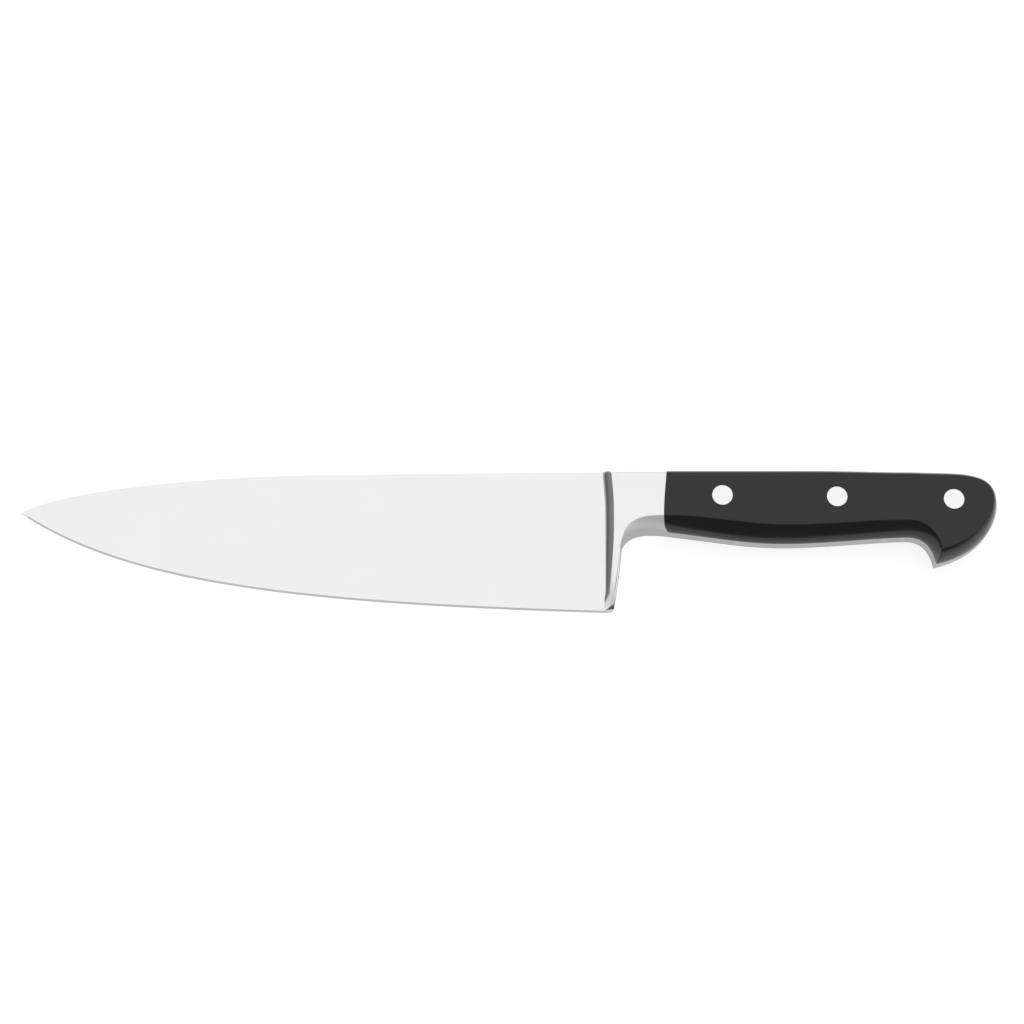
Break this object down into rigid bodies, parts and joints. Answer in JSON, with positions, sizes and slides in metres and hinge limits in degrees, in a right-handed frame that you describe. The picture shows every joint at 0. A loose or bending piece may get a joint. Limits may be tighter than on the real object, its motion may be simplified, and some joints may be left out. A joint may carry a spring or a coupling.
{
  "type": "chef's knife",
  "caption": "Forged chef's knife with a wide pointed blade, full bolster and finger guard, full tang and riveted black scales that end in a hooked butt.",
  "frame": {"origin": "centre of the bounding box's bottom face: the knife lies flat on its right side on z = 0", "axes": "+X from the tip to the butt, +Y from the cutting edge to the spine, +Z from the right side to the left side"},
  "size_m": [0.3328, 0.0494, 0.018],
  "materials": {
    "blade_steel": "fine satin polish",
    "scale_plastic": "smooth semi-gloss",
    "rivet_steel": "ground flush and polished"
  },
  "bodies": {
    "root": {"forged_blade": "blade_steel", "left_scale": "scale_plastic", "right_scale": "scale_plastic", "front_rivet_male": "rivet_steel", "front_rivet_female": "rivet_steel", "middle_rivet_male": "rivet_steel", "middle_rivet_female": "rivet_steel", "rear_rivet_male": "rivet_steel", "rear_rivet_female": "rivet_steel"}
  },
  "joints": []
}
